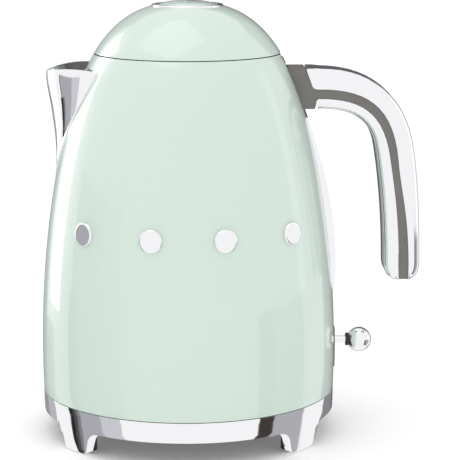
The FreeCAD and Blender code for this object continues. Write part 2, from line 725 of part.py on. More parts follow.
def make_window():
    foot = f"({WINDOW_LOW} - 2)"
    head = f"({WINDOW_HIGH} + 1)"
    bulge = slab("window_bulge_form", "XZ_Plane", [
        ("(base_radius - 25)", foot), ("(base_radius - 0.8)", foot),
        (("(base_radius + window_bulge - 0.6)", f"({WINDOW_LOW} + 33)"),
         (f"({ROOT} + window_bulge + 2.6)", f"({WINDOW_HIGH} - 40)")),
        (f"({ROOT} - 8.0)", head), (f"({ROOT} - 40)", head)],
        "window_width + 20")
    solid = shared("window_solid", bulge, window_bar("window_outline", "(window_width / 2)", "0"))
    keep("window_frame", cut("window_ring", solid, window_bar("lens_hole", "(lens_width / 2)", "6"), wall_form))
    lens_bar = window_bar("lens_outline", "(lens_width / 2 - 0.05)", "6.05")
    keep("window_lens", cut("lens", shared("lens_solid", bulge, lens_bar), wall_solid("lens_back", "(-wall)")))
    seal = shared("seal_solid", inner_form, window_bar("seal_outline", "(lens_width / 2 + 4)", "2"))
    keep("window_gasket", cut("window_seal", seal, window_bar("seal_hole", "(lens_width / 2 - 1)", "7"),
                              wall_solid("seal_back", "(-wall - 1.2)")))


# ---------------------------------------------------------------- handle
def handle_line(height, start_x, far, end_x, turn_drop):
    """Corner, bend, corner, bend and corner of a line along the handle, from the root
    at a height below the top, round the shoulder, down to the free end."""
    top = f"({HANDLE_TOP} - {height})"
    shoulder = f"({GRIP} - {far})"
    return [
        (start_x, top),
        ((f"({start_x} + ({shoulder} - {start_x}) * 0.55)", top),
         (f"({shoulder} - {turn_drop[0]})", f"({HANDLE_TOP} - {turn_drop[1]})")),
        (shoulder, f"({HANDLE_TOP} - {turn_drop[2]})"),
        ((f"({shoulder} + {turn_drop[3]})", f"({HANDLE_TOP} - {turn_drop[4]})"),
         (f"({GRIP} - {end_x} - 0.3)", f"({HANDLE_END} + 38)")),
        (f"({GRIP} - {end_x})", f"({HANDLE_END} + 9.5)"),
    ]


def reversed_line(line):
    """The same line drawn from its free end back to the root."""
    a, (b1, b2), c, (d1, d2), e = line
    return [e, (d2, d1), c, (b2, b1), a]


def make_handle():
    outer = handle_line("0", ROOT, "4.0", "0", (4.6, 15.4, 47.4, 2.6, 65.4))
    band_out = handle_line("11.8", ROOT, "13.4", "6.8", (3.2, 19.4, 52.4, 1.7, 69.9))
    band_in = handle_line("17.0", ROOT, "18.0", "12.2", (4.1, 23.4, 50.4, 2.4, 66.4))
    inner = handle_line("handle_depth", ROOT, "26.0", "grip_depth", (2.6, 28.4, 46.4, 2.4, 60.4))
    width = "handle_width"
    outer_end = [(outer[-1][0], HANDLE_END, "6.2"), (band_out[-1][0], HANDLE_END)]
    near_root = (f"({ROOT} - 7.5)", HANDLE_TOP)
    slope = (f"({ROOT} - 3.5)", f"({HANDLE_TOP} - 9.4)")
    outer_shell = slab("handle_outer_pad", "XZ_Plane",
                       [near_root] + outer + outer_end + reversed_line(band_out) + [slope], width)
    keep("handle_outer", rounded_grip("handle_outer_round", outer_shell, outer, mm("grip_round")))

    inner_end = [(band_in[-1][0], HANDLE_END), (inner[-1][0], HANDLE_END, "7.8")]
    under = f"({HANDLE_TOP} - handle_depth)"
    step = f"({HANDLE_TOP} - 18.4)"
    inner_root = [(f"({ROOT} - 2)", under), (f"({ROOT} - 1.2)", step)]
    inner_shell = slab("handle_inner_pad", "XZ_Plane",
                       band_in + inner_end + reversed_line(inner) + inner_root, width)
    keep("handle_inner", rounded_grip("handle_inner_round", inner_shell, inner, mm("grip_round_inner")))

    mount = [("(lid_radius - 4)", HANDLE_TOP), (f"({ROOT} - 7.9)", HANDLE_TOP), slope]
    core_end = [(band_out[-1][0], f"({HANDLE_END} + 0.6)"), (band_in[-1][0], f"({HANDLE_END} + 0.6)")]
    core_root = [(f"({ROOT} - 1.6)", step), (f"({ROOT} - 2.4)", under), ("(lid_radius - 4)", under)]
    core = slab("handle_core_pad", "XZ_Plane", mount + band_out + core_end + reversed_line(band_in) + core_root,
                "(handle_width - 2 * band_inset)")
    bores = []
    screws = []
    for number, drop in enumerate(HANDLE_SCREWS, 1):
        level = f"{HANDLE_TOP} - {drop}"
        wall_x = wall_radius(mm(level))
        bores.append(cylinder(f"core_bore_{number}", "screw_radius", "14", "lid_radius - 6", z=level,
                              axis="x"))
        shank = cylinder(f"grip_shank_{number}", "screw_radius", "screw_length", f"{wall_x - 3.2:.3f}",
                         z=level, axis="x")
        head = cylinder(f"grip_head_{number}", "screw_head", "1.8", f"{wall_x - 5.0:.3f}", z=level, axis="x")
        screws.append(joined(f"grip_screw_{number}", shank, head))
        bores.append(cylinder(f"core_deep_{number}", "screw_radius", "8", f"{wall_x - 1.2:.3f}", z=level,
                              axis="x"))
    keep("handle_core", cut("core", core, wall_form, *bores))
    keep("handle_screws", shared_group("grip_screws", screws))

    plate = block("bracket_block", ("lid_radius - 15", "base_radius"), ("-13", "13"),
                  (f"{HANDLE_TOP} - 24", f"{COLLAR_LOW} - 0.4"))
    plate_bores = [cylinder(f"bracket_bore_{number}", "screw_radius", "40", "lid_radius - 15",
                            z=f"{HANDLE_TOP} - {drop}", axis="x")
                   for number, drop in enumerate(HANDLE_SCREWS, 1)]
    for number, drop in enumerate(HANDLE_SCREWS, 1):
        reach = wall_radius(mm(f"{HANDLE_TOP} - {drop}")) - 3.2 - mm("lid_radius - 15")
        plate_bores.append(cylinder(f"bracket_sink_{number}", "screw_head + 0.1", f"{reach:.3f}",
                                    "lid_radius - 15", z=f"{HANDLE_TOP} - {drop}", axis="x"))
    keep("handle_bracket", cut("bracket", shared("bracket_skin", plate, inner_form),
                               wall_solid("bracket_back", "(-wall - 2.2)"), *plate_bores))


def line_shape(line):
    """Edges of a handle line, for finding what lies on it."""
    spots = [line[0], line[1][0], line[1][1], line[2], line[3][0], line[3][1], line[4]]
    poles = [Vector(mm(x), 0, mm(z)) for x, z in spots]
    curves = []
    for first in (0, 3):
        curve = Part.BezierCurve()
        curve.setPoles(poles[first:first + 4])
        curves.append(curve.toShape())
    return Part.makeCompound(curves)


def rounded_grip(name, body, line, radius):
    """Rounds the two long edges of a handle shell that lie on a handle line."""
    document.recompute()
    half = mm("handle_width") / 2
    path = line_shape(line)
    chosen = []
    for number, edge in enumerate(body.Shape.Edges, 1):
        middle = edge.valueAt((edge.FirstParameter + edge.LastParameter) / 2)
        flat = Vector(middle.x, 0, middle.z)
        on_side = edge.BoundBox.YLength < 0.01 and abs(abs(middle.y) - half) < 0.01
        if on_side and path.distToShape(Part.Vertex(flat))[0] < 0.05:
            chosen.append((number, radius, radius))
    item = document.addObject("Part::Fillet", name)
    item.Base = body
    item.Edges = chosen
    return item


# ---------------------------------------------------------------- heater, control and cover
def make_inside():
    make_heater()
    make_control()
    make_cover()
    keep("steam_tube", cut("steam", steam_bar("steam_outside"),
                           steam_bar("steam_inside", "(steam_radius - 1)")))


def steam_bar(name, radius="steam_radius"):
    """Upright bar where the steam tube runs from under the lid down to the control."""
    turn = math.radians(mm("steam_turn"))
    low = f"{DIFFUSER_LOW} - 4"
    return cylinder(name, radius, f"{COLLAR_LOW} - 3 - ({low})", f"steam_reach * {math.cos(turn):.4f}",
                    f"steam_reach * {math.sin(turn):.4f}", low)


def make_heater():
    rim_level = "(floor_level + cover_rim)"
    rim = f"({wall_radius(mm(rim_level)) - mm('wall'):.3f} - seal_thick)"
    rim_inner = f"({rim} - floor_thick)"
    keep("heater_floor", cut("floor", turned("floor_turned", [
        ("0", FLOOR_LOW), (rim, FLOOR_LOW), (rim, rim_level), (rim_inner, rim_level),
        (rim_inner, "floor_level"), ("0", "floor_level")]), steam_bar("floor_bore")))
    seal_outer = f"({rim} + seal_thick - 0.1)"
    seal = turned("seal", [
        (rim, "(floor_level - 3)"), (seal_outer, "(floor_level - 3)"),
        (seal_outer, f"({rim_level} - 1)"), (rim, f"({rim_level} - 1)")])
    keep("heater_seal", shared("seal_in_wall", seal, inner_form))
    keep("diffuser_plate", turned("diffuser", [
        ("0", DIFFUSER_LOW), ("diffuser_radius", DIFFUSER_LOW),
        ("diffuser_radius", FLOOR_LOW), ("0", FLOOR_LOW)]))
    element = document.addObject("Part::Torus", "element_ring")
    element.setExpression("Radius1", bound("element_radius"))
    element.setExpression("Radius2", bound("element_tube"))
    element.Angle3 = 300
    element.Placement = FreeCAD.Placement(Vector(), FreeCAD.Rotation(Vector(0, 0, 1), 150))
    place(element, z=f"{DIFFUSER_LOW} - element_tube - 0.02")
    keep("heating_element", element)


def make_control():
    cavity = "(tower_radius + 0.6)"
    low = "(cover_low + 1)"
    roof = "(tower_top + 1.5)"
    keep("control_unit", turned("control", [
        (cavity, low), ("control_radius", low), ("control_radius", "(control_top - 4)"),
        ("(control_radius - 4)", "control_top"), ("0", "control_top"), ("0", roof), (cavity, roof)]))
    keep("jug_contacts", cylinder("jug_prong", "2.6", "12", z="tower_top - 10.5"))
    discs = []
    for number, side in enumerate((-1, 1), 1):
        discs.append(cylinder(f"bimetal_{number}", "disc_radius", "0.6", f"{side} * disc_spread",
                              z="control_top + 0.5"))
    keep("bimetal_discs", shared_group("bimetal_pair", discs))


def make_cover():
    outer = f"({wall_radius(mm('cover_low')) - mm('wall'):.3f} - 0.1)"
    hole = "(control_radius + running_gap)"
    top = f"({JUG_LOW} + cover_rim)"
    plate_top = f"({JUG_LOW} + plate_thick)"
    cover = turned("cover_turned", [
        (hole, JUG_LOW), (outer, JUG_LOW), (outer, top), (f"({outer} - 2)", top),
        (f"({outer} - 2)", plate_top), (hole, plate_top)])
    bores = []
    screws = []
    head_low = f"{JUG_LOW} + 0.3"
    for number in range(3):
        turn = math.radians(mm("cover_screw_turn") + 120 * number)
        x = f"(cover_screw_reach * {math.cos(turn):.4f})"
        y = f"(cover_screw_reach * {math.sin(turn):.4f})"
        bores.append(cylinder(f"cover_bore_{number}", "screw_radius + 0.1", "screw_length", x, y,
                              f"{JUG_LOW} - 2"))
        bores.append(cylinder(f"cover_sink_{number}", "screw_head + 0.2", "1.6", x, y, f"{JUG_LOW} - 0.1"))
        shank = cylinder(f"cover_shank_{number}", "screw_radius", "screw_length", x, y, head_low)
        head = cylinder(f"cover_head_{number}", "screw_head", "1.2", x, y, head_low)
        screws.append(joined(f"cover_screw_{number}", shank, head))
    keep("bottom_cover", cut("cover", cover, *bores))
    keep("bottom_screws", shared_group("cover_screws", screws))


# ---------------------------------------------------------------- lever switch
def make_lever():
    bezel_bottom = "(seam_level + bezel_low)"
    bezel_top = "(seam_level + bezel_high)"
    plate = slab("bezel_outline", "YZ_Plane", [
        ("-bezel_width / 2", bezel_bottom, "2.5"), ("bezel_width / 2", bezel_bottom, "2.5"),
        ("bezel_width / 2", bezel_top, "2.5"), ("-bezel_width / 2", bezel_top, "2.5")],
        "base_radius + 20", both=False)
    slot = slab("bezel_slot", "YZ_Plane", stadium("(stem_radius + 0.9)", f"({PIVOT_Z} - 12.4)",
                                                  f"({PIVOT_Z} + 3.4)"),
                "base_radius + 20", both=False)
    skin = shared("bezel_skin", plate, wall_solid("bezel_form", "bezel_thick"))
    keep("switch_bezel", cut("bezel", skin, slot, wall_solid("bezel_back", "0.01")))

    cheek_out = "(cheek_inside + cheek_thick)"
    back = f"{PIVOT_X} - 6"
    front = f"{PIVOT_X} + 8"
    web_low = f"{PIVOT_Z} - 14"
    web_top = f"{PIVOT_Z} - 8"
    cheeks = [block("bracket_cheek_1", (back, front), (f"-{cheek_out}", "-cheek_inside"),
                    (web_top, f"{PIVOT_Z} + 5.5")),
              block("bracket_cheek_2", (back, front), ("cheek_inside", cheek_out),
                    (web_top, f"{PIVOT_Z} + 5.5"))]
    web = block("bracket_web", (back, front), (f"-{cheek_out}", cheek_out), (web_low, web_top))
    arm = block("bracket_arm", ("control_radius - 2", front), (f"-{cheek_out}", cheek_out),
                (web_low, f"{web_low} + 3"))
    bore = cylinder("bracket_pin_bore", "lever_pin", "20", PIVOT_X, "-10", PIVOT_Z, "y")
    control = cylinder("control_clear", "control_radius + 0.05", "60", z="cover_low")
    keep("lever_bracket", cut("lever_bracket_body", joined("bracket_all", *cheeks, web, arm), bore, control))
    keep("lever_pin", cylinder("pivot_pin", "lever_pin", f"2 * {cheek_out}", PIVOT_X, f"-{cheek_out}",
                               PIVOT_Z, "y"))

    hub_half = "(cheek_inside - running_gap)"
    stem_start = f"{PIVOT_X} + 5"
    hub = cylinder("hub_round", "hub_radius", f"2 * {hub_half}", PIVOT_X, f"-{hub_half}", PIVOT_Z, "y")
    sleeve = cylinder("hub_sleeve", "sleeve_radius", "sleeve_length", PIVOT_X, z=PIVOT_Z, axis="x")
    hub_bore = cylinder("hub_bore", "lever_pin + pin_gap", "20", PIVOT_X, "-10", PIVOT_Z, "y")
    stem_bore = cylinder("hub_stem_bore", "stem_radius", "20", stem_start, z=PIVOT_Z, axis="x")
    keep("lever_hub", cut("hub", joined("hub_solid", hub, sleeve), hub_bore, stem_bore))

    stem_end = f"{BALL_X} - 1"
    keep("lever_stem", cylinder("stem", "stem_radius", f"{stem_end} - ({stem_start})", stem_start,
                                z=PIVOT_Z, axis="x"))
    tube_bore = cylinder("knob_bore", "stem_radius", f"{stem_end} - ({stem_start})", stem_start, z=PIVOT_Z,
                         axis="x")
    knob = ball("knob", "ball_radius", BALL_X, "0", PIVOT_Z)
    collar = cylinder("collar_round", "lever_collar", "lever_collar_length",
                      f"{BALL_X} - ball_radius - 0.9", z=PIVOT_Z, axis="x")
    keep("lever_collar", cut("lever_collar_body", collar, tube_bore, knob))
    keep("lever_ball", cut("lever_ball_body", knob, tube_bore))


# ---------------------------------------------------------------- lid
def make_lid():
    make_dome()
    make_plug()
    make_button()
    make_springs()


def make_dome():
    hole = "(button_radius + button_gap)"
    haunch = (("(lid_radius - 7.6)", f"({LID} + 12.6)"), ("(ring_outer + 14.2)", f"({DOME_TOP} - 3.9)"))
    inner_haunch = (("(ring_outer + 13.4)", f"({DOME_TOP} - 3.9 - wall)"),
                    ("(lid_radius - 8.6)", f"({LID} + 12.1)"))
    keep("lid_shell", turned("lid_dome", [
        ("lid_radius", LID), haunch, ("ring_outer", DOME_TOP), (hole, DOME_TOP),
        (hole, f"({DOME_TOP} - wall)"),
        ("(ring_outer - 0.2)", f"({DOME_TOP} - wall)"), inner_haunch, ("(lid_radius - wall)", LID)]))
    ring_edge = "(ring_outer - 0.1)"
    ring_top = f"({DOME_TOP} + 1.0)"
    keep("lid_ring", turned("ring", [
        (hole, DOME_TOP), (ring_edge, DOME_TOP), (ring_edge, ring_top, "0.8"), (hole, ring_top, "0.8")]))


def make_plug():
    flange = "(lid_radius - wall - 2.5)"
    shelf = f"({LID} + 1.6)"
    cup_floor = f"({PLUG_LOW} + 1.6)"
    cup = turned("plug_cup", [
        ("0", PLUG_LOW), (f"({PLUG} - 1.6)", PLUG_LOW), (PLUG, FLANGE_LOW), (flange, FLANGE_LOW),
        (flange, f"({LID} + 0.2)"), (f"({flange} + 1.2)", f"({LID} + 0.2)"), (f"({flange} + 0.9)", shelf),
        (f"({PLUG} - 2)", shelf), (f"({PLUG} - 3.6)", cup_floor), ("0", cup_floor)])
    post_low = f"({PLUG_LOW} + 0.8)"
    post_top = f"({PLUG_LOW} + post_rise)"
    post = turned("spring_post", [
        ("post_inner", post_low), ("post_outer", post_low),
        ("post_outer", post_top), ("post_inner", post_top)])
    lug = block("lid_lug", ("neck_radius - 6", HINGE_X), ("-knuckle_half", "knuckle_half"),
                (f"{HINGE_Z} - 2", f"{LID} - 0.3"))
    knuckle = cylinder("lid_knuckle", "knuckle_radius", "2 * knuckle_half", HINGE_X, "-knuckle_half",
                       HINGE_Z, "y")
    pin_bore = cylinder("knuckle_bore", "hinge_pin + pin_gap", "40", HINGE_X, "-20", HINGE_Z, "y")
    slot_half = "(latch_half + running_gap)"
    latch_slot = block("latch_slot", ("-neck_radius - 4", "latch_end + 5"), (f"-{slot_half}", slot_half),
                       (f"{PLUG_LOW} + 1.59", f"{PLUG_LOW} + 6"))
    seal_low = f"({COLLAR_TOP} + running_gap)"
    seal = turned("lid_seal", [
        ("(neck_radius + 1)", seal_low), ("(neck_radius + 4)", seal_low), ("(neck_radius + 4)", FLANGE_LOW),
        ("(neck_radius + 1)", FLANGE_LOW)])
    plug = joined("plug_all", cup, post, lug, knuckle)
    keep("lid_inner", cut("plug", plug, pin_bore, latch_slot, seal))
    keep("lid_gasket", seal)


def make_button():
    """Push button whose sloping stem draws the latch bar back."""
    skirt = f"({DOME_TOP} - 6)"
    cap = turned("button_cap", [
        ("0", skirt), ("button_radius", skirt), ("button_radius", f"({DOME_TOP} + 0.6)"),
        (("(button_radius * 0.7)", "total_height"), ("(button_radius * 0.3)", "total_height")),
        ("0", "total_height")])
    stem = block("button_stem", ("-stem_half", "stem_half"), ("-stem_half - 0.4", "stem_half + 0.4"),
                 (STEM_LOW, f"{DOME_TOP} - 5"))
    slope_low = f"({STEM_LOW} - 0.5)"
    slope = slab("button_slope", "XZ_Plane", [("-1", slope_low), ("8", slope_low),
                                              ("8", f"({STEM_LOW} + 8.5)")], "20")
    keep("lid_button", joined("button", cap, cut("button_stem_cut", stem, slope)))

    bar = block("latch_bar", ("-neck_radius + 0.9", "latch_end"), ("-latch_half", "latch_half"),
                (BAR_LOW, BAR_TOP))
    under = f"({BAR_LOW} - 1)"
    over = f"({BAR_TOP} + 1)"
    window = slab("latch_window", "XZ_Plane", [
        ("-9", under), (f"({under} - {STEM_LOW} - 0.1)", under),
        (f"({over} - {STEM_LOW} - 0.1)", over), ("-9", over)],
        "2 * stem_half + 1.4")
    keep("lid_latch", cut("latch", bar, window))


def coil(name, radius, wire, turns, length, start, axis):
    """Round wire coil spring as one swept solid."""
    helix = Part.makeHelix(length / turns, length, radius)
    section = Part.Wire([Part.makeCircle(wire, Vector(radius, 0, 0), Vector(0, 1, 0))])
    item = shaped(name, Part.Wire(helix.Edges).makePipeShell([section], True, True))
    item.Placement = FreeCAD.Placement(start, FreeCAD.Rotation(Vector(0, 0, 1), axis))
    return item


def make_springs():
    low = mm(f"{PLUG_LOW} + post_rise + 0.7")
    high = mm(f"{DOME_TOP} - 6.7")
    keep("button_spring", coil("cap_spring", 11.0, 0.6, 3, high - low, Vector(0, 0, low), Vector(0, 0, 1)))
    start = Vector(mm("latch_end + 0.4"), 0, mm(f"({BAR_LOW} + {BAR_TOP}) / 2"))
    keep("latch_spring", coil("bar_spring", 1.5, 0.25, 4, 4.2, start, Vector(1, 0, 0)))


make_base()
make_connector()
make_shell()
make_spout()
make_neck()
make_window()
make_handle()
make_inside()
make_lever()
make_lid()
document.recompute()

# ---------------------------------------------------------------- check and write
faults = [item.Name for item in document.Objects if "Invalid" in item.State or "Error" in item.State]
for name, item in pieces.items():
    if item.Shape.isNull() or not item.Shape.isValid() or not item.Shape.Solids:
        faults.append(name)
if faults:
    raise SystemExit("faulty objects: " + ", ".join(faults))
for name, item in pieces.items():
    item.Shape.exportStep(f"parts/{name}.step")
    box = item.Shape.BoundBox
    print(f"{name:18s} solids {len(item.Shape.Solids)} volume {item.Shape.Volume:9.0f} "
          f"x {box.XMin:7.1f} {box.XMax:7.1f} y {box.YMin:7.1f} {box.YMax:7.1f} "
          f"z {box.ZMin:7.1f} {box.ZMax:7.1f}")
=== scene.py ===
# %% [markdown]
# # Retro electric jug kettle
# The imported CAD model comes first, as a fixed frame. Everything below is built around it: a
# camera and a soft studio, then the finishes, then the pieces whose rounded edges and pressed
# details are quicker to shape as meshes than as CAD solids.

import json
import math

import bpy
from mathutils import Matrix, Vector
from mathutils.geometry import interpolate_bezier, intersect_point_line

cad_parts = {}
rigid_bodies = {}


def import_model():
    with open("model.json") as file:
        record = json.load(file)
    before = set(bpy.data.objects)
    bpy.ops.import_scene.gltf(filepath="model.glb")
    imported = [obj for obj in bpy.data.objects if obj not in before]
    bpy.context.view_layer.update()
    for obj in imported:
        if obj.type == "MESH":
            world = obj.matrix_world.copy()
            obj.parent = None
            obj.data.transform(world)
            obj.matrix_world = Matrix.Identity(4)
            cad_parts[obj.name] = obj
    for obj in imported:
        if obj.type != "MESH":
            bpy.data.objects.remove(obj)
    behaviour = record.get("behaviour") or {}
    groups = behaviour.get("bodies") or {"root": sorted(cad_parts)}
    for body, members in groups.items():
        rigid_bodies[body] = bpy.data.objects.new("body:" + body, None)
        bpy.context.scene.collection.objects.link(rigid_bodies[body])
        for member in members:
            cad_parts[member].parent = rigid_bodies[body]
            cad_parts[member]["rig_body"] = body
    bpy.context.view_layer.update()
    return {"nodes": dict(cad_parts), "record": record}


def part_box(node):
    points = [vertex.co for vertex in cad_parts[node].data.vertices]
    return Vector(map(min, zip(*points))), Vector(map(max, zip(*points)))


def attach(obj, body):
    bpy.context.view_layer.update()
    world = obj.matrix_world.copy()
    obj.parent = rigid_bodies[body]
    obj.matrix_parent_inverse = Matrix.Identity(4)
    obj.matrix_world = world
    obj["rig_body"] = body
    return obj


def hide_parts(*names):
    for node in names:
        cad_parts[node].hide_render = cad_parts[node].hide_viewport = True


MM = 0.001

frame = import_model()
nodes = frame["nodes"]

# %% [markdown]
# ## Camera
# The kettle was seen with a long lens from about a metre away and a little above, with the
# spout and the handle square to the view. A long lens keeps the sides nearly parallel.

# %% Place the camera
CAMERA_DISTANCE = 1.1087
CAMERA_LEVEL = 0.3242
CAMERA_PITCH = math.radians(10.62)
CAMERA_PAN = math.radians(1.244)
CAMERA_LENS = 153.5


def place_camera():
    """Adds the camera square to the spout and handle, and makes it the scene's own."""
    bpy.ops.object.camera_add(location=(0, -CAMERA_DISTANCE, CAMERA_LEVEL),
                              rotation=(math.pi / 2 - CAMERA_PITCH, 0, -CAMERA_PAN))
    camera = bpy.context.object
    camera.data.lens = CAMERA_LENS
    camera.data.clip_end = 20
    bpy.context.scene.camera = camera
    return camera


camera = place_camera()
print("camera", camera.location)

# %% [markdown]
# ## Colours and nodes
# Paint charts give colours as sRGB hex values, and shaders want linear light, so one function
# turns the one into the other. A second one adds a shader node with its settings and links.

# %% Colour and node helpers


def linear(hex_colour):
    """Linear RGBA of an sRGB hex colour such as "c8ddd0"."""
    channels = [int(hex_colour[i:i + 2], 16) / 255 for i in (0, 2, 4)]
    light = [c / 12.92 if c <= 0.04045 else ((c + 0.055) / 1.055) ** 2.4 for c in channels]
    return (*light, 1.0)


def add_node(material, kind, settings=None, inputs=None):
    """Adds a shader node. An input is a value, or a pair (node, output name) to link from."""
    tree = material.node_tree
    node = tree.nodes.new(kind)
    for name, value in (settings or {}).items():
        setattr(node, name, value)
    for name, value in (inputs or {}).items():
        if isinstance(value, tuple) and isinstance(value[0], bpy.types.Node):
            tree.links.new(value[0].outputs[value[1]], node.inputs[name])
        else:
            node.inputs[name].default_value = value
    return node


def new_finish(name, inputs):
    """A material with one Principled shader, and that shader's node."""
    material = bpy.data.materials.new(name)
    material.use_nodes = True
    shader = material.node_tree.nodes["Principled BSDF"]
    for key, value in inputs.items():
        shader.inputs[key].default_value = value
    return material, shader


print("white in linear light", linear("ffffff"))

# %% [markdown]
# ## Mint enamel
# The jug and the lid are pressed steel with a sprayed, baked enamel. The eye sees a pale mint
# under a hard clear gloss, and in the sharp edge of a reflection a very slight orange peel.
# A coat over a satin base gives the gloss, and a faint noise in the coat's normal gives the peel.

# %% Mint enamel
ORANGE_PEEL = 3.0 * MM        # width of one ripple of sprayed enamel
PEEL_DEPTH = 0.02 * MM


def mint_enamel():
    """Satin paint under a clear glossy coat with a faint peel."""
    material, shader = new_finish("mint_enamel_sprayed_steel", {
        "Base Color": linear("cdded3"), "Roughness": 0.32, "IOR": 1.5,
        "Coat Weight": 1.0, "Coat Roughness": 0.03, "Coat IOR": 1.5})
    place = add_node(material, "ShaderNodeTexCoord")
    ripple = add_node(material, "ShaderNodeTexNoise", inputs={
        "Vector": (place, "Object"), "Scale": 1 / ORANGE_PEEL, "Detail": 2.0, "Roughness": 0.4})
    peel = add_node(material, "ShaderNodeBump", inputs={
        "Height": (ripple, "Fac"), "Strength": 0.02, "Distance": PEEL_DEPTH})
    material.node_tree.links.new(peel.outputs["Normal"], shader.inputs["Coat Normal"])
    return material


enamel = mint_enamel()
print("finish", enamel.name)

# %% [markdown]
# ## Chrome plate
# The skirt, spout, handle and knob are bright chrome. It is a mirror with a slightly blue-grey
# tint. Handling leaves it a little less sharp in places, so a slow noise moves its roughness.

# %% Chrome plate
HANDLING_MARKS = 25 * MM
CLEAN_CHROME = 0.05
HANDLED_CHROME = 0.10


def chrome_plate():
    """A mirror whose roughness drifts between clean and handled chrome."""
    material, shader = new_finish("chrome_plate_polished", {
        "Base Color": linear("f3f3f5"), "Metallic": 1.0})
    place = add_node(material, "ShaderNodeTexCoord")
    marks = add_node(material, "ShaderNodeTexNoise", inputs={
        "Vector": (place, "Object"), "Scale": 1 / HANDLING_MARKS, "Detail": 4.0})
    spread = add_node(material, "ShaderNodeMapRange", inputs={
        "Value": (marks, "Fac"), "From Min": 0.3, "From Max": 0.7, "To Min": CLEAN_CHROME,
        "To Max": HANDLED_CHROME})
    material.node_tree.links.new(spread.outputs["Result"], shader.inputs["Roughness"])
    return material


chrome = chrome_plate()
print("finish", chrome.name)

# %% [markdown]
# ## Moulded plastics and rubber
# The grey band and collar of the handle are satin ABS with a fine spark-eroded grain. The
# base's plates are the same plastic in black. The feet are plain moulded rubber.

# %% Moulded plastics and rubber
SPARK_GRAIN = 0.5 * MM        # finer on the real piece, but then it would not show
GRAIN_DEPTH = 0.02 * MM
COLOUR_CLOUD = 18 * MM        # size of the patches where the colour drifts
DARKER = 0.93
LIGHTER = 1.05


def moulded(name, colour, roughness):
    """Moulded plastic or rubber: a plain colour that varies a little, with a fine grain."""
    material, shader = new_finish(name, {"Roughness": roughness, "IOR": 1.5})
    place = add_node(material, "ShaderNodeTexCoord")
    cloud = add_node(material, "ShaderNodeTexNoise", inputs={
        "Vector": (place, "Object"), "Scale": 1 / COLOUR_CLOUD, "Detail": 3.0})
    base = linear(colour)
    ramp = add_node(material, "ShaderNodeValToRGB", inputs={"Fac": (cloud, "Fac")})
    stops = zip(ramp.color_ramp.elements, (0.3, 0.7), (DARKER, LIGHTER))
    for stop, position, factor in stops:
        stop.position = position
        stop.color = (*[min(c * factor, 1) for c in base[:3]], 1)
    grain = add_node(material, "ShaderNodeTexNoise", inputs={
        "Vector": (place, "Object"), "Scale": 1 / SPARK_GRAIN, "Detail": 2.0})
    bump = add_node(material, "ShaderNodeBump", inputs={
        "Height": (grain, "Fac"), "Strength": 0.25, "Distance": GRAIN_DEPTH})
    links = material.node_tree.links
    links.new(ramp.outputs["Color"], shader.inputs["Base Color"])
    links.new(bump.outputs["Normal"], shader.inputs["Normal"])
    return material


grey_abs = moulded("abs_moulded_grey", "716e6b", 0.38)
black_abs = moulded("abs_moulded_black", "1c1c1e", 0.45)
filter_abs = moulded("polypropylene_filter_grey", "9a9c9c", 0.4)
black_rubber = moulded("rubber_moulded_black", "161616", 0.7)
silicone = moulded("silicone_moulded_grey", "b8b8b4", 0.5)
print("finishes", grey_abs.name, black_abs.name, filter_abs.name, black_rubber.name, silicone.name)

# %% [markdown]
# ## Metals inside the jug
# The heater floor is stainless steel, turned on a lathe after pressing, so its scratches run in
# rings round the axis. The diffuser is cast aluminium, and the contacts are plain brass.

# %% Metals inside the jug
LATHE_RING = 3.77 * MM        # finer on the real piece, but then it would not show
WAVE_PERIOD = math.tau / 20   # width of one ring of a wave texture at scale 1
RING_DEPTH = 0.02 * MM


def turned_metal(name, colour, roughness):
    """Metal with ring scratches round the jug's axis."""
    material, shader = new_finish(name, {"Base Color": linear(colour), "Metallic": 1.0})
    place = add_node(material, "ShaderNodeTexCoord")
    rings = add_node(material, "ShaderNodeTexWave",
                     {"wave_type": "RINGS", "rings_direction": "Z"},
                     {"Vector": (place, "Object"), "Scale": WAVE_PERIOD / LATHE_RING, "Distortion": 2.0,
                      "Detail": 3.0, "Detail Scale": 4.0})
    spread = add_node(material, "ShaderNodeMapRange", inputs={
        "Value": (rings, "Fac"), "To Min": roughness * 0.8, "To Max": roughness * 1.3})
    bump = add_node(material, "ShaderNodeBump", inputs={
        "Height": (rings, "Fac"), "Strength": 0.1, "Distance": RING_DEPTH})
    links = material.node_tree.links
    links.new(spread.outputs["Result"], shader.inputs["Roughness"])
    links.new(bump.outputs["Normal"], shader.inputs["Normal"])
    return material


stainless = turned_metal("stainless_steel_turned", "c9c8c4", 0.22)
zinc_steel = turned_metal("steel_zinc_plated", "b4b6b8", 0.3)
aluminium = turned_metal("aluminium_cast", "c4c5c6", 0.4)
brass = turned_metal("brass_plain", "c9a24f", 0.25)
print("finishes", stainless.name, zinc_steel.name, aluminium.name, brass.name)

# %% [markdown]
# ## Clear window
# The water window is moulded polycarbonate. It is clear with a slight grey tint, and its glossy
# face ripples a little where the plastic flowed, so it is a transmissive plastic with a faint bump.

# %% Clear window
MOULD_FLOW = 12 * MM          # width of one ripple left by the plastic's flow
FLOW_DEPTH = 0.05 * MM


def clear_plastic():
    """Transmissive plastic with a faintly rippled face."""
    material, shader = new_finish("polycarbonate_moulded_clear", {
        "Base Color": linear("d7dedd"), "Roughness": 0.06, "IOR": 1.58, "Transmission Weight": 0.85})
    place = add_node(material, "ShaderNodeTexCoord")
    flow = add_node(material, "ShaderNodeTexNoise", inputs={
        "Vector": (place, "Object"), "Scale": 1 / MOULD_FLOW, "Detail": 1.0})
    bump = add_node(material, "ShaderNodeBump", inputs={
        "Height": (flow, "Fac"), "Strength": 0.05, "Distance": FLOW_DEPTH})
    material.node_tree.links.new(bump.outputs["Normal"], shader.inputs["Normal"])
    return material


clear = clear_plastic()
print("finish", clear.name)

